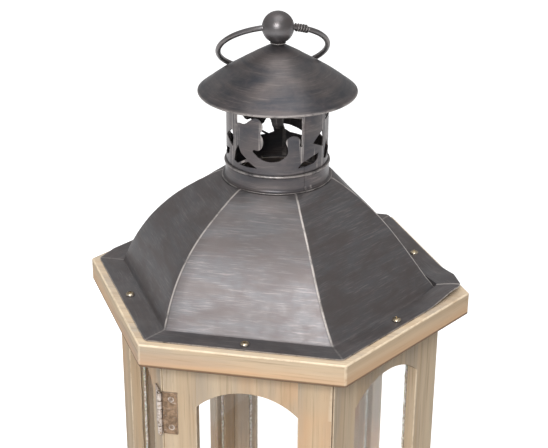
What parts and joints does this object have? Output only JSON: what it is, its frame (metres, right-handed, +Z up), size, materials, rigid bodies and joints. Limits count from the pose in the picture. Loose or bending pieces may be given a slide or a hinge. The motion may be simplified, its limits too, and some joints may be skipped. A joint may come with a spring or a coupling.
{
  "type": "candle lantern",
  "caption": "Standing and hanging candle lantern: hexagonal wooden body with arched glazed sides, a hinged door, and a bell-shaped metal roof with a pierced vent, cap, ball and ring handle.",
  "frame": {"origin": "middle of the base board's underside", "axes": "+Z up, the door's outer face looks to -Y, two corners of the hexagon lie on the X axis"},
  "size_m": [0.2688, 0.2338, 0.4839],
  "materials": {
    "wood": "weathered, grey-beige wash",
    "roof_metal": "antiqued dark bronze paint, rubbed pale on the edges",
    "hinge_metal": "antiqued",
    "screw_metal": "bright",
    "tray_metal": "satin, zinc plated",
    "magnet_plastic": "matte",
    "glass": "clear"
  },
  "bodies": {
    "lantern": {"base_board": "wood", "top_board": "wood", "right_front_left_stile": "wood", "right_front_right_stile": "wood", "right_front_top_rail": "wood", "right_front_bottom_rail": "wood", "right_front_glass": "glass", "right_rear_left_stile": "wood", "right_rear_right_stile": "wood", "right_rear_top_rail": "wood", "right_rear_bottom_rail": "wood", "right_rear_glass": "glass", "rear_left_stile": "wood", "rear_right_stile": "wood", "rear_top_rail": "wood", "rear_bottom_rail": "wood", "rear_glass": "glass", "left_rear_left_stile": "wood", "left_rear_right_stile": "wood", "left_rear_top_rail": "wood", "left_rear_bottom_rail": "wood", "left_rear_glass": "glass", "left_front_left_stile": "wood", "left_front_right_stile": "wood", "left_front_top_rail": "wood", "left_front_bottom_rail": "wood", "left_front_glass": "glass", "roof": "roof_metal", "roof_screw_1": "screw_metal", "roof_screw_2": "screw_metal", "roof_screw_3": "screw_metal", "roof_screw_4": "screw_metal", "roof_screw_5": "screw_metal", "roof_screw_6": "screw_metal", "vent": "roof_metal", "vent_collar": "roof_metal", "vent_cap": "roof_metal", "vent_strap": "roof_metal", "finial": "roof_metal", "finial_nut": "roof_metal", "upper_hinge_frame_leaf": "hinge_metal", "upper_hinge_pin": "hinge_metal", "lower_hinge_frame_leaf": "hinge_metal", "lower_hinge_pin": "hinge_metal", "magnet_catch": "magnet_plastic", "candle_tray": "tray_metal", "tray_screw": "screw_metal"},
    "door": {"door_left_stile": "wood", "door_right_stile": "wood", "door_top_rail": "wood", "door_bottom_rail": "wood", "door_glass": "glass", "upper_hinge_door_leaf": "hinge_metal", "lower_hinge_door_leaf": "hinge_metal", "door_knob": "hinge_metal", "strike_plate": "tray_metal"},
    "ring": {"ring_handle": "roof_metal"}
  },
  "joints": [
    {"name": "door_hinge", "type": "hinge", "parent": "lantern", "child": "door", "pos_m": [-0.05854, -0.10139, 0.14], "axis": [0, 0, -1], "range_deg": [0, 225]},
    {"name": "ring_swing", "type": "hinge", "parent": "lantern", "child": "ring", "pos_m": [0, 0, 0.47344], "axis": [0.9511, 0.309, 0], "range_deg": [0, 258]}
  ]
}
